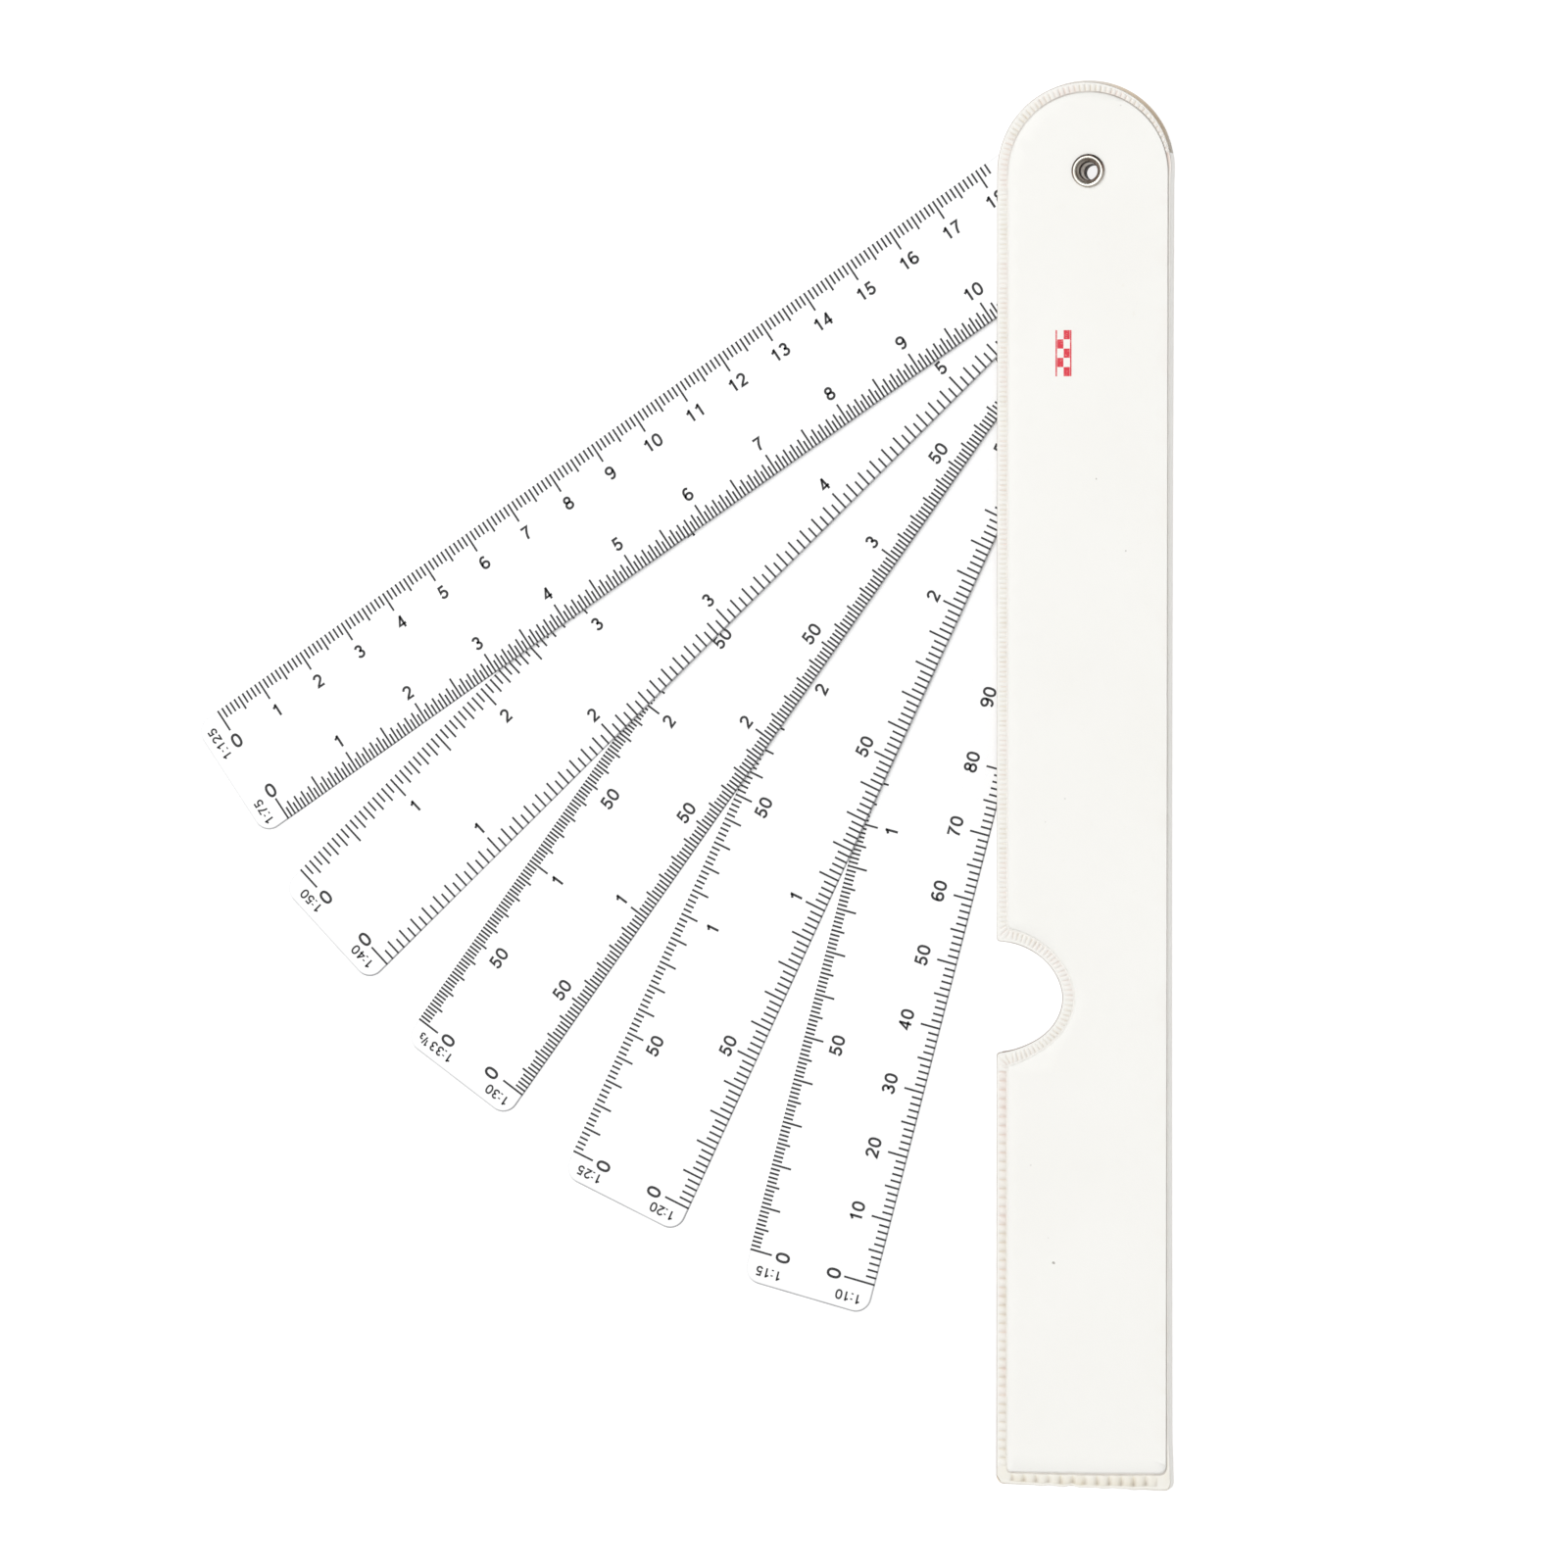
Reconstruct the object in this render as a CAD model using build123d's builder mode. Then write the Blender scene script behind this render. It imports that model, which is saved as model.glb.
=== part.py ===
"""Pocket fan scale ruler: five graduated blades that swing out of a welded vinyl case.

Millimetres, +Z up.  The origin is on the eyelet's axis, at the plane that the case's back
rests on.  +Y points to the eyelet end of the case, and the folded spine is on the +X side.
"""
from build123d import *
import os

os.makedirs("parts", exist_ok=True)

# ---- driving dimensions ------------------------------------------------------------------

# sheet thicknesses, and the play between the blades
FILM = 0.2
LINING = 0.15
CARD = 0.3
BLADE = 0.3
PLAY = 0.1

# blades: width, corner radii, tip distance from the pivot and the step from one to the next
BLADE_COUNT = 5
BLADE_WIDTH = 20.0
TIP_CORNER = 2.5
FIRST_REACH = 162.65
REACH_STEP = 2.95
# angle below the -X axis at which each blade stands fanned out, top blade first
FAN_ANGLES = [34.3, 44.0, 54.2, 64.9, 75.4]

# case outline
CASE_LEFT = -13.9
CASE_RIGHT = 12.5
CASE_FOOT = -195.8
FOOT_CORNER = 1.2
# the film is folded a little out of true, so the back cover's arc is higher than the front's
BACK_RISE = 0.35
SPINE_TOP = 2.6
SPINE_WIDTH = 0.5
SPINE_ROUND = 0.45

# thumb notch in the open edge
NOTCH_CENTRE = (-12.55, -122.9)
NOTCH_RADIUS = 8.7
LIP_ROUND = 0.6

# raised panel over the card, and the weld between it and the thumb notch and the foot
PANEL_HALF_WIDTH = 12.0
PANEL_ARC_CENTRE = (0, -0.5)
PANEL_CORNER = 1.2
PANEL_LIP_ROUND = 0.9
NOTCH_WELD = 2.1
FOOT_WELD = 2.5

# eyelet: radii, the height of its flange over the case, and the washer it is clinched over
BORE = 1.35
BARREL = 1.65
HOLE = 1.7
FLANGE = 2.5
FLANGE_CREST = 2.1
FLANGE_HEIGHT = 0.45
ROLL = 2.4
WASHER = 3.0
WASHER_THICKNESS = 0.15
WASHER_SEAT = 3.05

# ---- worked out from the dimensions above ------------------------------------------------

CASE_ARC_RADIUS = (CASE_RIGHT - CASE_LEFT) / 2
CASE_ARC_X = (CASE_RIGHT + CASE_LEFT) / 2
COVER_RIGHT = CASE_RIGHT - SPINE_WIDTH

POCKET_FLOOR = FILM + CARD + LINING
POCKET_HEIGHT = BLADE_COUNT * BLADE + (BLADE_COUNT + 1) * PLAY
POCKET_ROOF = POCKET_FLOOR + POCKET_HEIGHT
CASE_HEIGHT = POCKET_ROOF + LINING + CARD + FILM


def thumb_notch(radius, lip_round):
    """Cut the notch out of the open sketch and round the two lips that it leaves."""
    with Locations(NOTCH_CENTRE):
        Circle(radius, mode=Mode.SUBTRACT)
    centre = Vector(*NOTCH_CENTRE)
    lips = [v for v in vertices() if abs((Vector(v) - centre).length - radius) < 0.001]
    fillet(lips, lip_round)


def raised_panel(inset):
    """Draw the panel's face, moved in by inset from where the weld ends."""
    right = PANEL_HALF_WIDTH - inset
    foot = CASE_FOOT + FOOT_WELD + inset
    shoulder = PANEL_ARC_CENTRE[1]
    with Locations(PANEL_ARC_CENTRE):
        Circle(right)
    with Locations((0, (foot + shoulder) / 2)):
        Rectangle(2 * right, shoulder - foot)
    fillet(vertices().group_by(Axis.Y)[0], PANEL_CORNER - inset)
    thumb_notch(NOTCH_RADIUS + NOTCH_WELD + inset, PANEL_LIP_ROUND - inset)


def cover_outline(rise=0):
    """Draw a cover's outer edge, out to the spine's fold, with its arc moved up by rise."""
    with Locations((CASE_ARC_X, rise)):
        Circle(CASE_ARC_RADIUS)
    with Locations((COVER_RIGHT, SPINE_TOP)):
        Rectangle(CASE_ARC_RADIUS, 2 * CASE_ARC_RADIUS, align=(Align.MIN, Align.MAX), mode=Mode.SUBTRACT)
    with Locations((CASE_LEFT, rise)):
        Rectangle(COVER_RIGHT - CASE_LEFT, rise - CASE_FOOT, align=(Align.MIN, Align.MAX))
    fillet(vertices().group_by(Axis.Y)[0].sort_by(Axis.X)[0], FOOT_CORNER)
    thumb_notch(NOTCH_RADIUS, LIP_ROUND)


# ---- case: front cover, from the lining outwards -----------------------------------------

FRONT_FLANGE = POCKET_ROOF + LINING

with BuildPart() as front_lining:
    with BuildSketch(Plane.XY.offset(POCKET_ROOF)):
        cover_outline()
        Circle(HOLE, mode=Mode.SUBTRACT)
    extrude(amount=LINING)

with BuildPart() as front_stiffener:
    with BuildSketch(Plane.XY.offset(FRONT_FLANGE)):
        raised_panel(FILM)
        Circle(HOLE, mode=Mode.SUBTRACT)
    extrude(amount=CARD)

with BuildPart() as front_cover:
    with BuildSketch(Plane.XY.offset(FRONT_FLANGE)):
        cover_outline()
    extrude(amount=FILM)
    with BuildSketch(Plane.XY.offset(FRONT_FLANGE)):
        raised_panel(0)
    extrude(amount=CARD + FILM)
    with BuildSketch(Plane.XY.offset(FRONT_FLANGE)):
        raised_panel(FILM)
    extrude(amount=CARD, mode=Mode.SUBTRACT)
    with BuildSketch(Plane.XY.offset(FRONT_FLANGE)):
        Circle(HOLE)
    extrude(amount=CARD + FILM, mode=Mode.SUBTRACT)

# ---- case: back cover, from the resting plane inwards ------------------------------------

BACK_FLANGE = CARD
WASHER_FLOOR = FILM

with BuildPart() as back_cover:
    with BuildSketch(Plane.XY.offset(BACK_FLANGE)):
        cover_outline(BACK_RISE)
    extrude(amount=FILM)
    with BuildSketch(Plane.XY):
        raised_panel(0)
    extrude(amount=CARD + FILM)
    with BuildSketch(Plane.XY.offset(FILM)):
        raised_panel(FILM)
    extrude(amount=CARD, mode=Mode.SUBTRACT)
    with BuildSketch(Plane.XY):
        Circle(WASHER_SEAT)
    extrude(amount=CARD + FILM, mode=Mode.SUBTRACT)

with BuildPart() as back_stiffener:
    with BuildSketch(Plane.XY.offset(FILM)):
        raised_panel(FILM)
        Circle(HOLE, mode=Mode.SUBTRACT)
    extrude(amount=CARD)
    # the clinched washer has pressed the card in by its own thickness
    with BuildSketch(Plane.XY.offset(WASHER_FLOOR)):
        Circle(WASHER_SEAT)
    extrude(amount=WASHER_THICKNESS, mode=Mode.SUBTRACT)

with BuildPart() as back_lining:
    with BuildSketch(Plane.XY.offset(FILM + CARD)):
        cover_outline(BACK_RISE)
        Circle(HOLE, mode=Mode.SUBTRACT)
    extrude(amount=LINING)

# ---- case: the fold that joins the two covers along the spine ----------------------------

FOLD_HEIGHT = CASE_HEIGHT - 2 * CARD

with BuildPart() as spine_fold:
    with BuildSketch(Plane.XZ.offset(-SPINE_TOP)):
        with Locations((COVER_RIGHT, CASE_HEIGHT / 2)):
            Rectangle(SPINE_WIDTH, FOLD_HEIGHT, align=(Align.MIN, Align.CENTER))
        fillet(vertices().group_by(Axis.X)[-1], SPINE_ROUND)
    extrude(amount=SPINE_TOP - CASE_FOOT)
    with BuildSketch(Plane.XZ.offset(-SPINE_TOP)):
        with Locations((COVER_RIGHT, CASE_HEIGHT / 2)):
            Rectangle(SPINE_WIDTH - FILM, FOLD_HEIGHT - 2 * FILM, align=(Align.MIN, Align.CENTER))
        fillet(vertices().group_by(Axis.X)[-1], SPINE_ROUND - FILM)
    extrude(amount=SPINE_TOP - CASE_FOOT, mode=Mode.SUBTRACT)

# ---- pivot: one hollow eyelet clinched over a washer -------------------------------------

with BuildPart() as eyelet:
    with BuildSketch(Plane.XZ):
        with BuildLine():
            Polyline((BORE, CASE_HEIGHT), (BORE, 0), (FLANGE_CREST, 0))
            EllipticalCenterArc((FLANGE_CREST, FILM), ROLL - FLANGE_CREST, FILM, -90, arc_size=90)
            Polyline((ROLL, FILM), (BARREL, FILM), (BARREL, CASE_HEIGHT), (FLANGE, CASE_HEIGHT))
            flange_middle = (FLANGE_CREST, CASE_HEIGHT)
            EllipticalCenterArc(flange_middle, FLANGE - FLANGE_CREST, FLANGE_HEIGHT, 0, arc_size=90)
            EllipticalCenterArc(flange_middle, FLANGE_CREST - BORE, FLANGE_HEIGHT, 90, arc_size=90)
        make_face()
    revolve(axis=Axis.Z)

with BuildPart() as eyelet_washer:
    with BuildSketch(Plane.XY.offset(WASHER_FLOOR)):
        Circle(WASHER)
        Circle(HOLE, mode=Mode.SUBTRACT)
    extrude(amount=WASHER_THICKNESS)

# ---- blades: the first is the top one, and each next one is longer and lower -------------

blades = {}
for index, angle in enumerate(FAN_ANGLES):
    reach = FIRST_REACH + index * REACH_STEP
    lower_face = POCKET_ROOF - (index + 1) * (PLAY + BLADE)
    # the blade is drawn along +X of a plane that is turned to where it stands
    fanned = Plane.XY.offset(lower_face).rotated((0, 0, 180 + angle))
    with BuildPart() as blade:
        with BuildSketch(fanned):
            with Locations((reach / 2, 0)):
                Rectangle(reach, BLADE_WIDTH)
            Circle(BLADE_WIDTH / 2)
            fillet(
                [v for v in vertices() if v.distance_to(Vertex(0, 0, 0)) > reach], TIP_CORNER
            )
            Circle(HOLE, mode=Mode.SUBTRACT)
        extrude(amount=BLADE)
    blades[f"scale_blade_{index + 1}"] = blade

# ---- export ------------------------------------------------------------------------------

pieces = {
    "front_cover": front_cover,
    "front_stiffener": front_stiffener,
    "front_lining": front_lining,
    "back_cover": back_cover,
    "back_stiffener": back_stiffener,
    "back_lining": back_lining,
    "spine_fold": spine_fold,
    "eyelet": eyelet,
    "eyelet_washer": eyelet_washer,
    **blades,
}
for name, piece in pieces.items():
    piece.part.label = name
    export_step(piece.part, f"parts/{name}.step")
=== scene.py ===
"""Looks of the fan scale ruler: welded vinyl case, clinched eyelet, printed blades.

Lengths are millimetres in the part's own frame, and every mesh is scaled to metres as it is
made.  The case's film is one piece that stands for three nodes.
"""

from collections import namedtuple
from math import asin, atan2, copysign, cos, degrees, hypot, pi, radians, sin, sqrt, tau
import random

import bmesh
import bpy
from mathutils import Matrix, Vector, noise
from mathutils.geometry import delaunay_2d_cdt


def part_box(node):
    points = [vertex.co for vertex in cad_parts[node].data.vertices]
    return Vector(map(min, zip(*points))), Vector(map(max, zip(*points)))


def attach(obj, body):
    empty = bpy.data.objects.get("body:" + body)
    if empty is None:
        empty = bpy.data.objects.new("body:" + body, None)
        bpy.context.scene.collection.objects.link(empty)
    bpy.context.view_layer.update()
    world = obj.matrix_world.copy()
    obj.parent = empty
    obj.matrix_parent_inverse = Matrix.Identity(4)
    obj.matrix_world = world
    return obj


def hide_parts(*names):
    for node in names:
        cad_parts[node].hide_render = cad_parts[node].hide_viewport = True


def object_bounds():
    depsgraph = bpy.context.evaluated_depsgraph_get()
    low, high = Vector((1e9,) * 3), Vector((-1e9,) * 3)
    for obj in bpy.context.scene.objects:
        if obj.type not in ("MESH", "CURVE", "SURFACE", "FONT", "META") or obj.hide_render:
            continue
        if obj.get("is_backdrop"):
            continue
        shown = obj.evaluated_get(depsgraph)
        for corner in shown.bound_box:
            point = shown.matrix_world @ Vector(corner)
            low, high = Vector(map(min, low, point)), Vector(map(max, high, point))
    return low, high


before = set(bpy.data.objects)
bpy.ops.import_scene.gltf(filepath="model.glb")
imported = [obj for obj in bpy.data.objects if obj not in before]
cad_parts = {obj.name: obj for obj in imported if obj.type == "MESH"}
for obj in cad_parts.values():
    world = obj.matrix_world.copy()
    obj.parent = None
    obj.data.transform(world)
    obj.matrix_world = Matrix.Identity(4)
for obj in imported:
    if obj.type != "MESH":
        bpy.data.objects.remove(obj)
cad_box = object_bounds()

MM = 0.001
TO_METRES = Matrix.Scale(MM, 4)


def node_box(node):
    """A node's lowest and highest corners, in millimetres."""
    low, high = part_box(node)
    return low / MM, high / MM


# ---- sizes of the case

FRONT_LOW, FRONT_HIGH = node_box("front_cover")
CARD_LOW, CARD_HIGH = node_box("front_stiffener")
SPINE_LOW, SPINE_HIGH = node_box("spine_fold")

CASE_LEFT = FRONT_LOW.x
CASE_FOOT = FRONT_LOW.y
CASE_ARC_RADIUS = FRONT_HIGH.y
CASE_RIGHT = SPINE_HIGH.x
CASE_ARC_X = (CASE_LEFT + CASE_RIGHT) / 2
SPINE_TOP = SPINE_HIGH.y
PANEL_RIGHT = SPINE_LOW.x
PANEL_TOP = FRONT_HIGH.z
MID_HEIGHT = PANEL_TOP / 2
FILM = PANEL_TOP - CARD_HIGH.z
FLANGE_TOP = FRONT_LOW.z + FILM

PANEL_ARC_Y = -0.5
PANEL_FOOT = CARD_LOW.y - FILM
PANEL_CORNER = 1.2
FOOT_CORNER = 1.2
NOTCH_X = -12.55
NOTCH_Y = -122.9
NOTCH_RADIUS = 8.7
LIP_ROUND = 0.6
NOTCH_WELD = 2.1
PANEL_NOTCH_RADIUS = NOTCH_RADIUS + NOTCH_WELD
PANEL_LIP_ROUND = 0.9
PANEL_TOE_CORNER = 0.5
# how far the notch's edge is inside a true circle: at its lips, and above and below its middle,
# with how much nearer the lips than half way that is
NOTCH_LIP_FLAT = 0.42
NOTCH_ABOVE = (0.42, 1.2)
NOTCH_BELOW = (0.6, 1.6)
FOOT_SKEW = 0.45
# the back cover's arc is higher than the front's, and the case's foot sags at its spine end
BACK_RISE = node_box("back_cover")[1].y - FRONT_HIGH.y
FOOT_SAG = 0.3

# the length of one rib of the weld; EDGE_PITCH is the notch's too
ARC_PITCH = 0.8
EDGE_PITCH = 0.73
LOWER_EDGE_PITCH = 1.34
FOOT_PITCH = 1.8

HOLE_RADIUS = 1.7
WASHER_SEAT_RADIUS = 3.05

random.seed(8)


# ---- small tools

def smooth(x):
    """Ease from 0 to 1 as x goes from 0 to 1."""
    x = min(max(x, 0.0), 1.0)
    return x * x * (3 - 2 * x)


def line(a, b):
    """A straight stretch from a to b, as a function of the share gone."""
    start, end = Vector(a), Vector(b)
    return lambda share: start.lerp(end, share)


def arc(centre, radius, start, end):
    """A round stretch between two angles in degrees, as a function of the share gone."""
    def point(share):
        angle = radians(start + (end - start) * share)
        return Vector((centre[0] + radius * cos(angle), centre[1] + radius * sin(angle)))
    return point


def facing(centre, radius, other):
    """A round stretch whose points face another stretch's, as seen from its centre."""
    middle = Vector(centre)
    return lambda share: middle + (other(share) - middle).normalized() * radius


def chain(*stretches):
    """Several stretches end to end, as one function of the share gone along them all."""
    lengths = [
        sum((part(k / 12) - part((k + 1) / 12)).length for k in range(12)) for part in stretches
    ]

    def point(share):
        gone = share * sum(lengths)
        for part, length in zip(stretches, lengths):
            if gone <= length or part is stretches[-1]:
                return part(min(gone / length, 1.0))
            gone -= length
    return point


def angles(count):
    """Evenly spaced angles round a full turn."""
    return [tau * k / count for k in range(count)]


def new_object(name, data):
    """Put a mesh, a lamp or a camera into the scene."""
    made = bpy.data.objects.new(name, data)
    bpy.context.scene.collection.objects.link(made)
    return made


def new_piece(name, mesh, material, body):
    """Put a finished mesh into the scene as one piece of the object."""
    piece = new_object(name, mesh)
    mesh.materials.clear()
    mesh.materials.append(material)
    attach(piece, body)
    return piece


def mesh_from(name, sheet):
    """Turn a finished bmesh into a mesh."""
    mesh = bpy.data.meshes.new(name)
    sheet.to_mesh(mesh)
    sheet.free()
    return mesh


def mesh_of(name, verts, faces, matrix=TO_METRES):
    """Make a mesh in metres from millimetre points."""
    mesh = bpy.data.meshes.new(name)
    mesh.from_pydata([matrix @ Vector(v) for v in verts], [], faces)
    mesh.update()
    return mesh


def lathe(name, profile, steps):
    """Turn a closed profile of (radius, height) points about the pivot's axis."""
    verts, faces = [], []
    for angle in angles(steps):
        verts += [(r * cos(angle), r * sin(angle), z) for r, z in profile]
    count = len(profile)
    for step in range(steps):
        here, there = step * count, (step + 1) % steps * count
        for k in range(count):
            after = (k + 1) % count
            faces.append((here + k, there + k, there + after, here + after))
    mesh = mesh_of(name, verts, faces)
    mesh.shade_smooth()
    return mesh


# ---- materials

class Nodes:
    """A short way to lay out one material's nodes."""

    def __init__(self, name):
        self.material = bpy.data.materials.new(name)
        self.material.use_nodes = True
        self.tree = self.material.node_tree
        self.place = self.add("ShaderNodeTexCoord", {}, "Object")

    def feed(self, node, inputs):
        """Give each input its plain value or another node's output."""
        for key, value in inputs.items():
            if isinstance(value, bpy.types.NodeSocket):
                self.tree.links.new(value, node.inputs[key])
            else:
                node.inputs[key].default_value = value

    def add(self, kind, inputs, output, **settings):
        """Add a node, feed it, and return one of its outputs."""
        node = self.tree.nodes.new(kind)
        for key, value in settings.items():
            setattr(node, key, value)
        self.feed(node, inputs)
        return node.outputs[output]

    def noise(self, size, detail=3.0, roughness=0.5, distortion=0.0):
        """Noise whose blobs are about size millimetres across."""
        inputs = {"Vector": self.place, "Scale": 1 / (size * MM), "Detail": detail,
                  "Roughness": roughness, "Distortion": distortion}
        return self.add("ShaderNodeTexNoise", inputs, "Fac")

    def stretch(self, value, low, high, to_low=0.0, to_high=1.0):
        """Map a value's range from low..high to another, clamped."""
        inputs = {"Value": value, "From Min": low, "From Max": high,
                  "To Min": to_low, "To Max": to_high}
        return self.add("ShaderNodeMapRange", inputs, "Result")

    def along(self, axis, start, end):
        """A value that goes from 0 to 1 between two places on an axis, in millimetres."""
        place = self.add("ShaderNodeSeparateXYZ", {"Vector": self.place}, axis)
        return self.stretch(place, start * MM, end * MM)

    def math(self, operation, a, b):
        return self.add("ShaderNodeMath", {0: a, 1: b}, "Value", operation=operation)

    def product(self, a, b):
        return self.math("MULTIPLY", a, b)

    def mix(self, factor, a, b):
        """Blend two colours; each is a tuple or another node's output."""
        a, b = ((*c, 1) if isinstance(c, tuple) else c for c in (a, b))
        return self.add("ShaderNodeMix", {"Factor": factor, 6: a, 7: b}, 2, data_type="RGBA")

    def attribute(self, name):
        return self.add("ShaderNodeAttribute", {}, "Fac", attribute_name=name)

    def bump(self, height, depth, **others):
        """Raise the surface by height times depth millimetres, in looks only."""
        inputs = {"Height": height, "Distance": depth * MM, **others}
        return self.add("ShaderNodeBump", inputs, "Normal")

    def finish(self, colour, roughness, **others):
        """Feed the shader, whose other inputs are named with _ for a space."""
        inputs = {"Base Color": colour, "Roughness": roughness}
        inputs.update((key.replace("_", " "), value) for key, value in others.items())
        self.feed(self.tree.nodes["Principled BSDF"], inputs)
        return self.material


# where the weld's dirt turns yellower towards the foot, and where the lining turns pale: towards
# the spine, and at the crown, inwards and upwards
YELLOW_FOOT = (-188, -193)
PALE_SPINE = (10.9, 12.1)
PALE_CROWN_IN = (5, 0.5)
PALE_CROWN_UP = (9, 12)


def vinyl_material():
    """Off-white PVC film: fine emboss and soft ripples, yellowed and dusty in the weld."""
    n = Nodes("vinyl_film")
    patches = n.stretch(n.noise(22, 3), 0.35, 0.7)
    colour = n.mix(patches, (0.886, 0.879, 0.844), (0.873, 0.864, 0.826))
    spots = n.stretch(n.noise(3, 4, 0.6), 0.66, 0.78)
    stains = n.product(spots, n.stretch(n.noise(30, 1), 0.5, 0.7, 0, 0.5))
    colour = n.mix(stains, colour, (0.76, 0.715, 0.62))
    tint = n.mix(n.stretch(n.noise(5, 2), 0.42, 0.58), (0.72, 0.64, 0.52), (0.77, 0.64, 0.57))
    tint = n.mix(n.along("Y", *YELLOW_FOOT), tint, (0.76, 0.69, 0.53))
    blotches = n.stretch(n.noise(2.5, 2), 0.3, 0.7, 0.6, 1)
    colour = n.mix(n.product(n.attribute("grime"), blotches), colour, tint)
    # painted shade: the crease attribute darkens the creases beside the panel and in the fold, the ribs'
    # corners and the cut edges
    crease = n.product(n.attribute("crease"), n.stretch(n.noise(4, 3), 0.3, 0.6, 0.6, 1))
    colour = n.mix(crease, colour, (0.29, 0.235, 0.20))
    specks = n.stretch(n.noise(0.9, 1, 0.4), 0.775, 0.80)
    specks = n.product(specks, n.stretch(n.noise(14, 1), 0.64, 0.70, 0, 0.7))
    colour = n.mix(specks, colour, (0.16, 0.13, 0.10))
    roughness = n.stretch(n.noise(1.6, 4), 0.3, 0.7, 0.40, 0.52)
    ripples = n.bump(n.noise(11, 2), 0.10)
    grain = n.bump(n.noise(0.22, 3, 0.6), 0.012, Normal=ripples)
    return n.finish(colour, roughness, Normal=grain, Specular_IOR_Level=0.42)


def lining_material():
    """Inner film, gone tan and brown at its rims, and still pale where the spine covers it."""
    n = Nodes("lining_film")
    rims = n.mix(n.stretch(n.noise(7, 3), 0.35, 0.65), (0.78, 0.67, 0.53), (0.87, 0.77, 0.63))
    crown = n.product(n.along("X", *PALE_CROWN_IN), n.along("Y", *PALE_CROWN_UP))
    pale = n.math("MAXIMUM", n.along("X", *PALE_SPINE), crown)
    colour = n.mix(pale, rims, (0.82, 0.79, 0.74))
    roughness = n.stretch(n.noise(1.2, 3), 0.3, 0.7, 0.38, 0.55)
    return n.finish(colour, roughness, Normal=n.bump(n.noise(0.3, 3), 0.01))


def card_material():
    """Grey board: short fibres and a dull face."""
    n = Nodes("grey_card")
    fibres = n.noise(0.5, 6, 0.7, 1.5)
    colour = n.mix(n.stretch(fibres, 0.35, 0.65), (0.42, 0.36, 0.28), (0.56, 0.50, 0.40))
    return n.finish(colour, 0.92, Normal=n.bump(fibres, 0.03))


def nickel_material():
    """Nickel plate: bright on the rolled crests, brown with patina and dirt in the hollows, painted near
    black as shade and reflection in the bore and on the flange's flank.
    """
    n = Nodes("nickel_plate")
    worn = n.stretch(n.noise(1.1, 4), 0.45, 0.68, 0, 0.6)
    colour = n.mix(worn, (0.90, 0.88, 0.80), (0.68, 0.62, 0.52))
    streaks = n.stretch(n.noise(0.45, 2, 0.5, 1), 0.35, 0.65, 0.75, 1)
    tarnish_and_shade = n.product(n.attribute("tarnish_and_shade"), streaks)
    brown = n.mix(n.stretch(n.noise(0.8, 2), 0.4, 0.6), (0.22, 0.145, 0.115), (0.15, 0.115, 0.085))
    colour = n.mix(n.stretch(tarnish_and_shade, 0, 0.5), colour, brown)
    # painted shade and reflection: where the attribute is high, in the bore, under the flange and on its
    # flank, the metal turns near black
    colour = n.mix(n.stretch(tarnish_and_shade, 0.5, 0.95), colour, (0.012, 0.010, 0.008))
    roughness = n.stretch(n.noise(0.35, 4), 0.3, 0.7, 0.16, 0.34)
    roughness = n.math("ADD", roughness, n.product(tarnish_and_shade, 0.35))
    metal = n.stretch(tarnish_and_shade, 0.1, 0.6, 1, 0.2)
    return n.finish(colour, roughness, Metallic=metal, Normal=n.bump(n.noise(0.18, 2), 0.006))


def blade_material():
    """White rigid PVC sheet: satin, nearly flat, a trace of rolling marks, and edges greyed with grime
    and painted shade.
    """
    n = Nodes("blade_plastic")
    colour = n.mix(n.stretch(n.noise(30, 2), 0.3, 0.7), (0.955, 0.957, 0.960), (0.945, 0.947, 0.951))
    scuffs = n.stretch(n.noise(0.7, 5, 0.7, 2), 0.68, 0.78)
    colour = n.mix(n.product(scuffs, 0.10), colour, (0.60, 0.60, 0.62))
    # the edges are greyed by grime, and by painted shade where they face away from the light as the
    # blades lie fanned out
    grimy_shaded_edge = n.product(n.attribute("edge"), n.stretch(n.noise(6, 3), 0.3, 0.6, 0.75, 1))
    colour = n.mix(grimy_shaded_edge, colour, (0.30, 0.30, 0.31))
    roughness = n.stretch(n.noise(2.2, 4), 0.3, 0.7, 0.26, 0.36)
    grain = n.bump(n.noise(0.5, 2), 0.004)
    return n.finish(colour, roughness, Normal=grain, Specular_IOR_Level=0.38)


def ink_material(name, dark, worn, cover):
    """Screen ink: dense, with a few pinholes and thin spots."""
    n = Nodes(name)
    colour = n.mix(n.stretch(n.noise(0.35, 3, 0.6), cover, cover + 0.12), dark, worn)
    roughness = n.stretch(n.noise(0.8, 2), 0.3, 0.7, 0.42, 0.6)
    return n.finish(colour, roughness, Normal=n.bump(n.noise(0.25, 2), 0.003))


def floor_material():
    """Opal white sheet, lit evenly from below so that shadows on it stay faint."""
    n = Nodes("pale_floor")
    colour = n.mix(n.stretch(n.noise(90, 2), 0.3, 0.7), (0.36, 0.36, 0.36), (0.35, 0.35, 0.35))
    glow = {"Emission_Color": (1, 1, 1, 1), "Emission_Strength": 0.77}
    return n.finish(colour, 0.9, Specular_IOR_Level=0.1, **glow)


VINYL = vinyl_material()
LINING = lining_material()
CARD = card_material()
NICKEL = nickel_material()
BLADE = blade_material()
BLACK_INK = ink_material("black_ink", (0.008, 0.008, 0.010), (0.035, 0.035, 0.04), 0.66)
RED_INK = ink_material("red_ink", (0.70, 0.018, 0.045), (0.84, 0.34, 0.33), 0.58)

for cover in ("front", "back"):
    for layer, layer_material in (("lining", LINING), ("stiffener", CARD)):
        layer_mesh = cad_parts[f"{cover}_{layer}"].data
        layer_mesh.materials.clear()
        layer_mesh.materials.append(layer_material)


# ---- case: outlines

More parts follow.
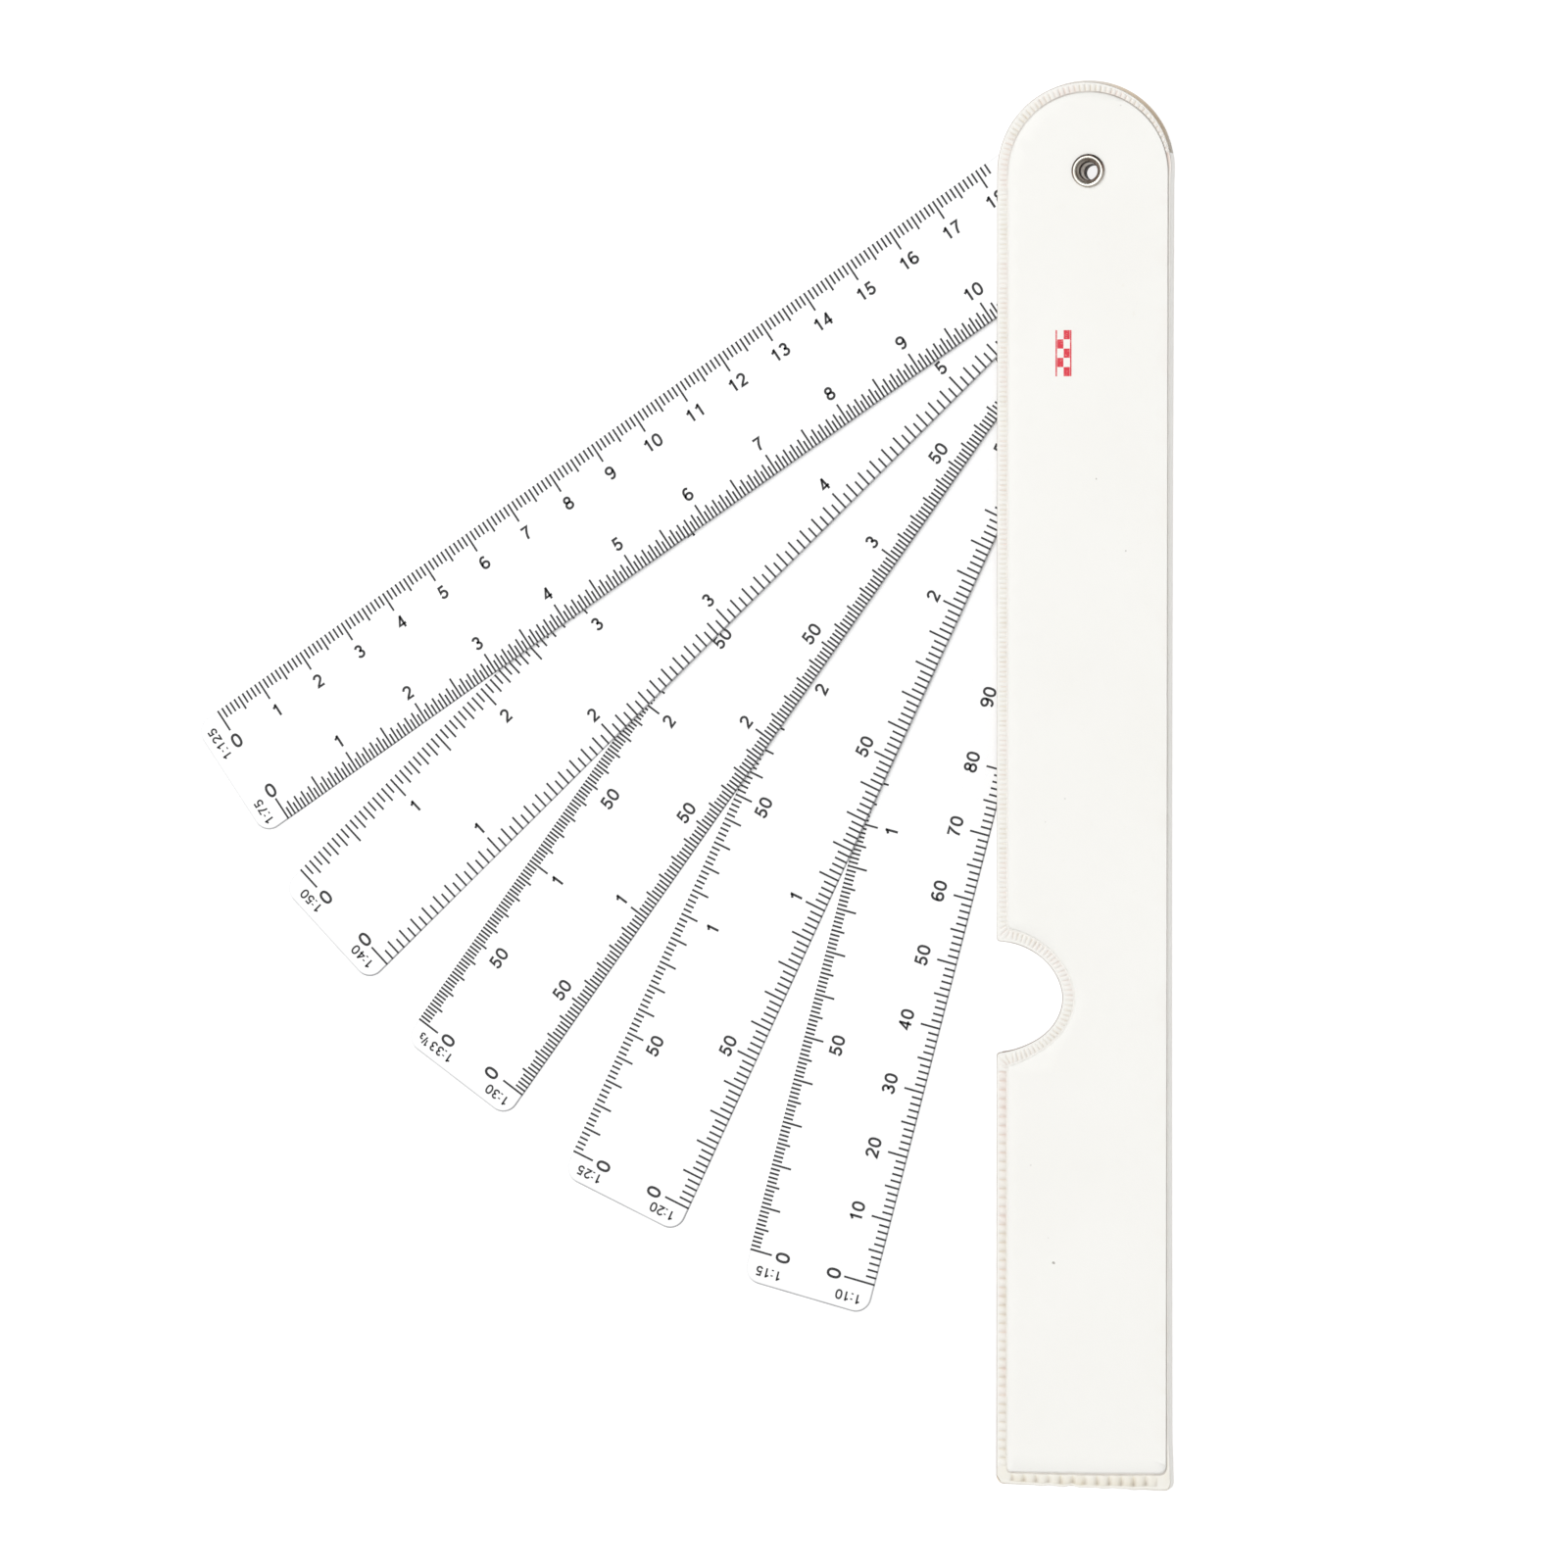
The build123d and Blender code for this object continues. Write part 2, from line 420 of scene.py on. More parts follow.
class Border:
    """One of the weld's two borders, with the lips and the arc of its thumb notch."""

    def __init__(self, edge_x, notch_radius, lip_round):
        self.x = edge_x
        self.radius = notch_radius
        lip_x = edge_x + lip_round
        lip_radius = notch_radius - NOTCH_LIP_FLAT
        rise = sqrt((lip_radius + lip_round) ** 2 - (lip_x - NOTCH_X) ** 2)
        self.lean = degrees(atan2(rise, lip_x - NOTCH_X))
        self.lip_top = NOTCH_Y + rise
        self.lip_foot = NOTCH_Y - rise
        self.upper_lip = arc((lip_x, self.lip_top), lip_round, 180, 180 + self.lean)
        self.lower_lip = arc((lip_x, self.lip_foot), lip_round, 180 - self.lean, 180)

    def side(self, top, foot):
        """The straight edge between two heights."""
        return line((self.x, top), (self.x, foot))

    def notch(self, start, end):
        """The notch's edge from one angle to another; it is cut flatter than a true circle."""
        def point(share):
            angle = start + (end - start) * share
            flat, skew = NOTCH_ABOVE if angle > 0 else NOTCH_BELOW
            gone = min(abs(angle) / self.lean, 1.0)
            inwards = NOTCH_LIP_FLAT * smooth(gone)
            radius = self.radius - inwards - flat * sin(pi * gone ** skew)
            turn = radians(angle)
            return Vector((NOTCH_X + radius * cos(turn), NOTCH_Y + radius * sin(turn)))
        return point


OUTER = Border(CASE_LEFT, NOTCH_RADIUS, LIP_ROUND)
INNER = Border(-PANEL_RIGHT, PANEL_NOTCH_RADIUS, PANEL_LIP_ROUND)
LIPS_START = max(OUTER.lip_top, INNER.lip_top)
LIPS_END = min(OUTER.lip_foot, INNER.lip_foot)

WELD_START = degrees(asin(SPINE_TOP / CASE_ARC_RADIUS))
CROWN = chain(arc((CASE_ARC_X, 0), CASE_ARC_RADIUS, WELD_START, 180), OUTER.side(0, PANEL_ARC_Y))
PANEL_CROWN = facing((0, PANEL_ARC_Y), PANEL_RIGHT, CROWN)
PANEL_WELD_START = degrees(asin((PANEL_CROWN(0).y - PANEL_ARC_Y) / PANEL_RIGHT))
HEEL_ROUND = 0.6
HEEL = (CASE_RIGHT - HEEL_ROUND, CASE_FOOT - FOOT_SAG + HEEL_ROUND)
TOE = (CASE_LEFT + FOOT_CORNER, CASE_FOOT + FOOT_CORNER)
PANEL_HEEL = (PANEL_RIGHT - PANEL_CORNER, PANEL_FOOT + PANEL_CORNER)
SAGGED_FOOT = (PANEL_HEEL[0], CASE_FOOT - FOOT_SAG)
# the panel's foot runs a little out of square, lower on the left
PANEL_TOE = (-PANEL_RIGHT + PANEL_TOE_CORNER, PANEL_FOOT - FOOT_SKEW + PANEL_TOE_CORNER)
# between the points where two stretches meet; points nearer than MERGE_DISTANCE become one
GAP = 0.001
MERGE_DISTANCE = 0.002

# the weld, stretch by stretch, from the spine's top round to its foot: its outer and inner
# borders, one rib's length, how tall the ribs are, how deep their stain and the film's own are,
# how dark their corners are painted as shade, and how dark the crease beside the panel and the
# cut edge are painted as shade where the stretch starts and ends
Stretch = namedtuple("Stretch", "outer inner pitch rib stain wash corner crease edge")
WELD = [
    Stretch(CROWN, PANEL_CROWN, ARC_PITCH, 1.2, 1.2, 0.085, 0.12, (1, 0.3), (0.6, 0.9)),
    Stretch(
        OUTER.side(PANEL_ARC_Y, LIPS_START), INNER.side(PANEL_ARC_Y, LIPS_START),
        EDGE_PITCH, 1.1, 0.9, 0.065, 0.05, (0.2, 0.1), (0.7, 0.4),
    ),
    Stretch(
        chain(OUTER.side(LIPS_START, OUTER.lip_top - GAP), OUTER.upper_lip,
              OUTER.notch(OUTER.lean, INNER.lean)),
        chain(INNER.side(LIPS_START + GAP, INNER.lip_top), INNER.upper_lip),
        EDGE_PITCH, 0.8, 0.6, 0.04, 0.05, (0.1, 0.2), (0.3, 1),
    ),
    Stretch(
        OUTER.notch(INNER.lean, -INNER.lean), INNER.notch(INNER.lean, -INNER.lean),
        EDGE_PITCH, 1.1, 0.7, 0.05, 0.2, (0.12, 0.12), (1, 2),
    ),
    Stretch(
        chain(OUTER.notch(-INNER.lean, -OUTER.lean), OUTER.lower_lip,
              OUTER.side(OUTER.lip_foot, LIPS_END - GAP)),
        chain(INNER.lower_lip, INNER.side(INNER.lip_foot, LIPS_END - GAP)),
        EDGE_PITCH, 0.8, 0.8, 0.055, 0.1, (0.2, 0.1), (2, 0.6),
    ),
    Stretch(
        OUTER.side(LIPS_END, PANEL_TOE[1]), INNER.side(LIPS_END, PANEL_TOE[1]),
        LOWER_EDGE_PITCH, 1.4, 1.7, 0.12, 0.3, (0.1, 0.2), (0.7, 2),
    ),
    Stretch(
        chain(OUTER.side(PANEL_TOE[1], TOE[1]), arc(TOE, FOOT_CORNER, 180, 270),
              line((TOE[0], CASE_FOOT), (PANEL_TOE[0], CASE_FOOT))),
        arc(PANEL_TOE, PANEL_TOE_CORNER, 180, 270),
        FOOT_PITCH, 0, 0.5, 0.28, 0, (0.2, 0.5), (2, 0.5),
    ),
    Stretch(
        line((PANEL_TOE[0], CASE_FOOT), SAGGED_FOOT),
        line((PANEL_TOE[0], PANEL_FOOT - FOOT_SKEW), (PANEL_HEEL[0], PANEL_FOOT)),
        FOOT_PITCH, 1.8, 1.2, 0.3, 0.6, (0.55, 0.5), (0.5, 0.4),
    ),
    Stretch(
        chain(line(SAGGED_FOOT, (HEEL[0], SAGGED_FOOT[1])), arc(HEEL, HEEL_ROUND, 270, 315)),
        arc(PANEL_HEEL, PANEL_CORNER, 270, 315),
        FOOT_PITCH, 0, 0.5, 0.28, 0, (0.5, 0.6), (0.4, 0.4),
    ),
]

# across the weld: share of its width, height over the flange, share of a rib's height, share of
# the cut edge's grime and painted shade
WELD_SECTION = [
    (0, -0.13, 0, 1), (0.035, -0.03, 0, 0.7), (0.08, 0, 0, 0), (0.15, 0, 0, 0),
    (0.19, -0.03, 0.1, 0), (0.24, -0.02, 0.8, 0), (0.33, 0, 1, 0),
    (0.69, 0, 1, 0), (0.76, -0.02, 0.8, 0), (0.81, -0.05, 0.1, 0), (0.865, -0.06, 0, 0),
    (0.92, 0.08, 0, 0), (0.965, 0.25, 0, 0), (1, 0.30, 0, 0),
]
# across the fold, row for row: share of the way to the silhouette, height over the flange
FOLD_SECTION = [
    (0.93, -0.14), (0.86, -0.08), (0.78, -0.04), (0.70, -0.02), (0.62, -0.005),
    (0.55, 0), (0.47, 0), (0.33, -0.03), (0.27, -0.05),
    (0.22, -0.06), (0.18, -0.05), (0.12, 0.08), (0.055, 0.24), (0, 0.30),
]
# down the spine's side: distance out from the fold, height over the flange
SIDE_SECTION = [(0.023, -0.22), (0.035, -0.36), (0.035, -0.8), (0.035, MID_HEIGHT - FLANGE_TOP)]
FOLD_STEPS = 100
FOLD_RUN_OUT = 5.0
FOLD_WANDER = 0.03
FOLD_GRIME = 0.1
# how dark the fold's crease is painted, as shade, and where across the fold
FOLD_CREASE_SHADE = 0.7
FOLD_CREASE_BAND = (0.15, 0.3)
# the fold is squeezed in a little half way down
SPINE_BOW = 0.22
BACK_RISE_RUN = 3.0
# along one rib: share of its length, height from -1 in the groove to 1 on the crest
RIB_SECTION = [(0, -1), (0.14, 0.1), (0.30, 0.95), (0.62, 1), (0.86, 0.1)]
RIB_HEIGHT = 0.08
# dirt on a rib, in its groove and on the cut edge, and how far its corner reaches
RIB_GRIME = 0.15
GROOVE_GRIME = 0.75
EDGE_GRIME = 0.3
CORNER_RUN = 0.3
# where across the weld the crease beside the panel is, painted dark as shade
WELD_CREASE_BAND = (0.8, 0.9)
# only the foot's ribs are taller than FOOT_RIB; there the edge wanders, and the ribs stand off
# from the panel, with less dirt in their grooves
FOOT_RIB = 1.5
EDGE_WAVE = 0.35
FOOT_SPREAD = 0.3
FOOT_GROOVE = 0.4
# the film's edges are sharp where it turns by more than this, in degrees
SHARP_ANGLE = 48
# the panel: the dimple round the eyelet, the points round the hole, the step of the grid of
# points over the rest, and how far that stays from the panel's edge
DIMPLE_RADIUS = 4.6
DIMPLE_DEPTH = 0.07
HOLE_STEPS = 64
HOLE_RINGS = (0.35, 0.8, 1.3, 2.0)
GRID_STEP = 1.9
GRID_MARGIN = 0.7
PANEL_WAVE = 0.02


# ---- case: the sheet

def weld_columns():
    """Lines of points across the weld, several to a rib."""
    columns = []
    for stretch in WELD:
        middle = [(stretch.outer(k / 16) + stretch.inner(k / 16)) / 2 for k in range(17)]
        length = sum((a - b).length for a, b in zip(middle, middle[1:]))
        ribs = max(1, round(length / stretch.pitch))
        for rib in range(ribs):
            height = RIB_HEIGHT * stretch.rib * (0.75 + 0.5 * random.random())
            dirt = stretch.stain * (0.4 + 0.6 * random.random())
            for place, level in RIB_SECTION:
                columns.append(weld_column(stretch, (rib + place) / ribs, height * level, dirt, level))
    columns.append(weld_column(WELD[-1], 1.0, 0.0, 0.5, 0.0))
    return columns


def weld_column(stretch, share, height, dirt, level):
    """One line across the weld of (place, grime, painted shade), from its outer border to the panel.

    Dirt is thickest in the groove before a rib; dirt and painted shade gather at its inner corner,
    or its outer one at the foot, and painted shade lies in the crease and on the cut edge.
    """
    a, b = stretch.outer(share), stretch.inner(share)
    is_foot = stretch.rib > FOOT_RIB
    spread = 1.0
    if is_foot:
        a.y += EDGE_WAVE * sin(pi * share) * noise.noise(Vector((a.x / 1.6, 3, 1)))
        spread += FOOT_SPREAD * sin(pi * share)
    crease_shade, edge_shade = (
        start + (end - start) * share for start, end in (stretch.crease, stretch.edge)
    )
    groove = max(0.0, -level) * min(stretch.rib, 1.0) * (FOOT_GROOVE if is_foot else 1.0)
    crease_start, crease_end = WELD_CREASE_BAND
    column = []
    for across, base, gain, edge in WELD_SECTION:
        place = a.lerp(b, across ** spread)
        height_there = FLANGE_TOP + base + gain * height
        cornered = 0.75 - across if is_foot else across - 0.5
        corner = smooth(cornered / CORNER_RUN) * (0.5 if level < 0.5 else 0.25)
        wash = stretch.wash + EDGE_GRIME * edge if across < crease_end else 0.0
        grime = dirt * gain * (RIB_GRIME + GROOVE_GRIME * groove + corner) + wash
        # painted shade in the rib's corner, in the crease beside the panel and on the cut edge
        dark = stretch.corner * gain * corner * (1 - level)
        if crease_start < across < crease_end:
            dark = crease_shade
        column.append(((place.x, place.y, height_there), min(1.0, grime), dark + edge * edge_shade))
    return column


def fold_creases():
    """Points along the panel's edge beside the spine, from the top weld to the foot's."""
    top = arc((0, PANEL_ARC_Y), PANEL_RIGHT, PANEL_WELD_START, 0)
    heel = arc(PANEL_HEEL, PANEL_CORNER, 360, 315)
    points = [top(k / 4) for k in range(4)]
    for k in range(FOLD_STEPS):
        share = k / FOLD_STEPS
        # the steps are closer together near both ends
        share -= 0.9 * sin(tau * share) / tau
        points.append(Vector((PANEL_RIGHT, PANEL_ARC_Y + (PANEL_HEEL[1] - PANEL_ARC_Y) * share)))
    return points + [heel(k / 4) for k in range(5)]


def fold_columns(first, last):
    """Lines of points across the spine's fold and down its side, from its top to its foot.

    Towards either end they turn into the weld's own end line, so that the film is whole.
    """
    creases = fold_creases()
    top, foot = creases[0].y, creases[-1].y
    crease_start, crease_end = FOLD_CREASE_BAND
    columns = []
    for crease in creases:
        top_share = 1 - smooth((top - crease.y) / FOLD_RUN_OUT)
        foot_share = 1 - smooth((crease.y - foot) / FOLD_RUN_OUT)
        end, share = (first, top_share) if top_share > foot_share else (last, foot_share)
        rim, _, _ = end[-1]
        shift = Vector((crease.x - rim[0], crease.y - rim[1], 0))
        wander = FOLD_WANDER * noise.noise(Vector((0, crease.y / 9, 4)))
        gone = (top - crease.y) / (top - foot)
        silhouette = CASE_RIGHT - SPINE_BOW * sin(pi * gone)
        column = []
        for (across, base), (end_place, end_grime, end_dark) in zip(FOLD_SECTION, end):
            x = crease.x + (silhouette - crease.x) * across + wander * (1 - across)
            folded = Vector((x, crease.y, FLANGE_TOP + base))
            place = folded.lerp(Vector(end_place) + shift, share)
            # painted shade along the fold's crease
            dark = FOLD_CREASE_SHADE if crease_start < across < crease_end else 0.0
            dark += (end_dark - dark) * share
            column.append((tuple(place), FOLD_GRIME + (end_grime - FOLD_GRIME) * share, dark))
        brow = column[0][0]
        for out, base in SIDE_SECTION:
            column.insert(0, ((brow[0] + out, brow[1], FLANGE_TOP + base), FOLD_GRIME, 0.0))
        columns.append(column)
    return columns


def join_columns(sheet, columns):
    """Lay faces between neighbouring columns of points."""
    grime_layer = sheet.verts.layers.float["grime"]
    crease_shade_layer = sheet.verts.layers.float["crease"]
    grid = []
    for column in columns:
        verts = []
        for place, grime, crease in column:
            vert = sheet.verts.new(place)
            vert[grime_layer] = grime
            vert[crease_shade_layer] = crease
            verts.append(vert)
        grid.append(verts)
    for here, there in zip(grid, grid[1:]):
        for k in range(len(here) - 1):
            sheet.faces.new((here[k], there[k], there[k + 1], here[k + 1]))


def panel_grid():
    """Points over the panel, clear of its edge and of the dimple."""
    reach = PANEL_RIGHT - GRID_MARGIN
    y, row = PANEL_FOOT, 0
    while y < PANEL_RIGHT:
        x = -PANEL_RIGHT + (0.5 if row % 2 else 1.0) * GRID_STEP
        while x < PANEL_RIGHT:
            inside_arc = y < PANEL_ARC_Y or hypot(x, y - PANEL_ARC_Y) < reach
            clear_of_notch = hypot(x - NOTCH_X, y - NOTCH_Y) > PANEL_NOTCH_RADIUS + GRID_MARGIN
            inside_sides = abs(x) < reach and y > PANEL_FOOT + GRID_MARGIN
            if inside_arc and clear_of_notch and inside_sides and hypot(x, y) > DIMPLE_RADIUS:
                yield Vector((x, y))
            x += GRID_STEP
        y += GRID_STEP
        row += 1


def panel_cap(sheet, rim, hole_radius):
    """Fill the raised panel, with the eyelet's hole and the dimple around it."""
    points = [Vector((p[0], p[1])) for p in rim]
    for out in (0.0, *HOLE_RINGS):
        ring_radius = hole_radius + out
        points += [Vector((ring_radius * cos(a), ring_radius * sin(a))) for a in angles(HOLE_STEPS)]
    points += panel_grid()
    count = len(rim)
    edges = [(k, (k + 1) % count) for k in range(count)]
    edges += [(count + k, count + (k + 1) % HOLE_STEPS) for k in range(HOLE_STEPS)]
    flat, _, triangles, originals, _, _ = delaunay_2d_cdt(points, edges, [], 1, 1e-5)
    verts = []
    for place, sources in zip(flat, originals):
        height = PANEL_TOP
        if not any(k < count for k in sources):
            past = place.length - hole_radius
            dip = DIMPLE_DEPTH * (1 - smooth(past / (DIMPLE_RADIUS - hole_radius)))
            wave = PANEL_WAVE * noise.noise(Vector((place.x / 7, place.y / 16, 2)))
            height = PANEL_TOP - (dip - wave * smooth(past / 3))
        verts.append(sheet.verts.new((place.x, place.y, height)))
    for corners in triangles:
        middle = sum((flat[k] for k in corners), Vector((0, 0))) / len(corners)
        if middle.length > hole_radius - 0.001:
            sheet.faces.new([verts[k] for k in corners])


def half_case(hole_radius):
    """One cover's film, to half way down the spine's side, as an open sheet."""
    sheet = bmesh.new()
    sheet.verts.layers.float.new("grime")
    sheet.verts.layers.float.new("crease")
    weld = weld_columns()
    fold = fold_columns(weld[0], weld[-1])
    join_columns(sheet, weld)
    join_columns(sheet, fold)
    rim = [column[-1][0] for column in weld] + [column[-1][0] for column in fold[-2:0:-1]]
    panel_cap(sheet, rim, hole_radius)
    bmesh.ops.remove_doubles(sheet, verts=sheet.verts, dist=MERGE_DISTANCE)
    return sheet


def case_film():
    """Front, spine and back as one folded film of real thickness."""
    front = half_case(HOLE_RADIUS)
    back = half_case(WASHER_SEAT_RADIUS)
    for vert in back.verts:
        vert.co.y += BACK_RISE * smooth((vert.co.y - SPINE_TOP) / BACK_RISE_RUN)
        vert.co.z = PANEL_TOP - vert.co.z
    back_mesh = mesh_from("case_back_half", back)
    front.from_mesh(back_mesh)
    bpy.data.meshes.remove(back_mesh)
    bmesh.ops.remove_doubles(front, verts=front.verts, dist=MERGE_DISTANCE)
    bmesh.ops.recalc_face_normals(front, faces=front.faces)
    top = max(front.faces, key=lambda face: face.calc_center_median().z)
    if top.normal.z < 0:
        bmesh.ops.reverse_faces(front, faces=front.faces)
    bmesh.ops.scale(front, verts=front.verts, vec=(MM, MM, MM))
    return thicken(mesh_from("case_film", front), FILM)


def thicken(mesh, thickness):
    """Give an open sheet its thickness, inwards, and keep the result as a plain mesh."""
    scratch = new_object("scratch", mesh)
    solid = scratch.modifiers.new("film", "SOLIDIFY")
    solid.thickness = thickness * MM
    solid.offset = -1
    depsgraph = bpy.context.evaluated_depsgraph_get()
    result = bpy.data.meshes.new_from_object(scratch.evaluated_get(depsgraph))
    bpy.data.objects.remove(scratch)
    result.name = mesh.name
    result.shade_smooth()
    result.set_sharp_from_angle(angle=radians(SHARP_ANGLE))
    return result


case = new_piece("case_film", case_film(), VINYL, "case")
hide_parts("front_cover", "back_cover", "spine_fold")


# ---- pivot

EYELET_TOP = node_box("eyelet")[1].z
EYELET_BORE = 1.35
EYELET_BARREL = 1.65
EYELET_CREST = 2.12
EYELET_FLANGE = 2.5
EYELET_CLINCH = 2.4
EYELET_ROLL = 0.42
# how dark the flange is painted: its flank from the foot up, near black as painted shade and reflection,
# and from the crest down into the funnel, brown with patina and painted shade
FLANK_DARK = (1, 1, 1, 1, 1, 0.75)
CREST_DARK = (0, 0, 0, 0.1, 0.45, 0.55)
# the turn, in degrees, at which the flank's painted shade is darkest
DARK_FLANK_SIDE = 105
# the barrel is set askew: how far its throat is from the axis, and the throat's radius
THROAT_SHIFT = Vector((0.33, -0.2))
THROAT_RADIUS = 1.1
THROAT_HEIGHT = 0.45
BORE_START = 3.02
CLINCH_HEIGHT = 0.25
CLINCH_SPLITS = 7
CLINCH_SPLIT_FROM = 1.75
EYELET_STEPS = 128
WASHER_STEPS = 96


def bow(x, y, rx, ry, start, end, steps=9):
    """Points along part of an ellipse, in degrees."""
    turns = [radians(start + (end - start) * k / steps) for k in range(steps + 1)]
    return [(x + rx * cos(t), y + ry * sin(t)) for t in turns]


def quarter(x, z, rx, rz, start):
    """Points along a quarter of an ellipse, turning left."""
    return bow(x, z, rx, rz, start, start + 90, 6)


def eyelet_profile():
    """Points (radius, height, patina and painted shade) from the flange's crest down the bore and up
    outside.
    """
    roll, foot = (EYELET_CREST, EYELET_TOP - EYELET_ROLL), (EYELET_CREST, FILM)
    inner = quarter(*roll, EYELET_ROLL - 0.06, EYELET_ROLL, 90)
    funnel = [(1.75, 3.45, 0.5), (1.66, 3.36, 0.55), (1.53, 3.26, 0.5), (1.44, 3.16, 0.55)]
    # the bore is painted near black as shade at its top and towards the throat, with a band of brown
    # patina between
    bore = [
        (1.41, 3.11, 1), (EYELET_BORE, BORE_START, 1), (1.34, 2.7, 1), (1.33, 2.6, 0.45),
        (1.3, 2.2, 0.3), (1.24, 1.5, 0.35), (1.21, 1.4, 1), (1.15, 0.8, 1),
        (THROAT_RADIUS, THROAT_HEIGHT, 1),
    ]
    flare = quarter(EYELET_CREST, 0.3, EYELET_CREST - THROAT_RADIUS - 0.05, 0.3, 180)
    clinch = quarter(*foot, EYELET_CLINCH - EYELET_CREST, FILM, 270)[1:]
    barrel = [
        (2.1, FILM - 0.03, 0.8), (1.82, FILM + 0.02, 0.9), (EYELET_BARREL, 0.5, 0.9),
        (EYELET_BARREL, 3.1, 0.9),
    ]
    under = [(1.78, 3.3, 0.9), (2.05, 3.34, 0.9), (2.34, 3.34, 1)]
    flank = quarter(*roll, EYELET_FLANGE - EYELET_CREST, EYELET_ROLL, 0)
    return [
        *((*point, dark) for point, dark in zip(inner, CREST_DARK)), *funnel, *bore,
        *((*point, 0.5) for point in flare), *((*point, 0.3) for point in clinch), *barrel, *under,
        *((*point, dark) for point, dark in zip(flank, FLANK_DARK)),
    ]


def eyelet_mesh():
    """The rolled front flange, the barrel and the end that is split and clinched at the back."""
    profile = eyelet_profile()
    mesh = lathe("eyelet_metal", [(r, z) for r, z, _ in profile], EYELET_STEPS)
    tarnish_and_shade = mesh.attributes.new("tarnish_and_shade", "FLOAT", "POINT")
    for k, vert in enumerate(mesh.vertices):
        step, place = divmod(k, len(profile))
        radius, height, dark = profile[place]
        turn = tau * step / EYELET_STEPS
        # the flank is painted darkest, as shade and reflection, on the side that faces the case's round
        # end; the funnel is painted less dark on its side towards -x
        if height > BORE_START and radius > EYELET_CREST:
            dark *= 0.25 + 0.75 * smooth(0.5 + 0.7 * cos(turn - radians(DARK_FLANK_SIDE)))
        elif height > BORE_START and radius > EYELET_BORE + 0.07:
            dark *= 1 - 0.62 * max(0.0, -cos(turn))
        tarnish_and_shade.data[k].value = dark
    for vert in mesh.vertices:
        x, y, z = vert.co / MM
        radius = hypot(x, y)
        if radius < EYELET_BORE + 0.001:
            askew = min((BORE_START - z) / (BORE_START - THROAT_HEIGHT), 1.0) * MM
            vert.co.x += THROAT_SHIFT.x * askew
            vert.co.y += THROAT_SHIFT.y * askew
        if z < CLINCH_HEIGHT and radius > CLINCH_SPLIT_FROM:
            angle = atan2(y, x)
            split = max(0.0, cos(CLINCH_SPLITS * angle + 0.25 * sin(3 * angle + 1))) ** 14
            pull = 1 - 0.75 * split * (radius - CLINCH_SPLIT_FROM) / radius
            vert.co.x *= pull
            vert.co.y *= pull
    mesh.update()
    return mesh


def washer_mesh():
    """A pressed ring with a low bead, that the eyelet is clinched over."""
    inside = [(1.71, 0.33), (1.71, 0.24), (1.78, 0.21)]
    bead = [(2.40, 0.205), (2.55, 0.215), (2.70, 0.235), (2.85, 0.22)]
    rim = [(2.95, 0.225), (2.99, 0.25), (3.00, 0.29), (2.98, 0.33), (2.92, 0.35), (1.77, 0.35)]
    return lathe("washer_metal", inside + bead + rim, WASHER_STEPS)


eyelet = new_piece("eyelet_metal", eyelet_mesh(), NICKEL, "case")
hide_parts("eyelet")
washer = new_piece("washer_metal", washer_mesh(), NICKEL, "case")
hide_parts("eyelet_washer")


# ---- blades

BLADE_NODES = sorted(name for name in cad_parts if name.startswith("scale_blade"))
BLADE_HALF_WIDTH = 10.0
TIP_CORNER = 2.5
# rings round a blade's edge, from its lower face to half way up: how far in, how far up, and
# how much grime and painted shade they take; the upper half is alike
EDGE_RINGS = [(0.28, 0, 0), (0.16, 0, 1), (0.05, 0, 1), (0.015, 0.015, 1), (0, 0.05, 1)]
# the way, as the blades lie fanned out, that the edges with the most painted shade face: down and right,
# away from the light
SHADED_EDGE_SIDE = Vector((0.6, -0.8))


def blade_lie(node):
    """How far a blade reaches from the pivot, and the angle from its tip back to the pivot."""
    points = {(round(v.co.x / MM, 2), round(v.co.y / MM, 2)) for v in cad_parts[node].data.vertices}
    furthest = max(hypot(*p) for p in points)
    ends = [Vector(p) for p in points if hypot(*p) > furthest - 0.03]
    tip = sum(ends, Vector((0, 0))) / len(ends)
    return tip.length, degrees(atan2(-tip.y, -tip.x))


def blade_outline(reach, inset):
    """A blade's edge moved in by inset, drawn with the tip on the left."""
    half, corner = BLADE_HALF_WIDTH - inset, TIP_CORNER - inset
    tip_x, tip_y = inset + corner - reach, half - corner
    tip = [arc((tip_x, tip_y), corner, 90, 180)(k / 10) for k in range(11)]
    tip += [arc((tip_x, -tip_y), corner, 180, 270)(k / 10) for k in range(11)]
    return tip + [arc((0, 0), half, -90, 90)(k / 48) for k in range(49)]


def edge_wear(place, reach, angle):
    """How grey the blade's edge is at a place: a little grime all round, and painted shade that grows as
    the edge faces away from the light.
    """
    core_x = min(max(place.x, TIP_CORNER - reach), 0.0)
    core_y = min(max(place.y, TIP_CORNER - BLADE_HALF_WIDTH), BLADE_HALF_WIDTH - TIP_CORNER)
    faces = Vector((place.x - core_x, place.y - core_y)).normalized()
    faces.rotate(Matrix.Rotation(radians(angle), 2))
    return 0.12 + 0.88 * smooth((faces.dot(SHADED_EDGE_SIDE) + 0.35) / 1.2)


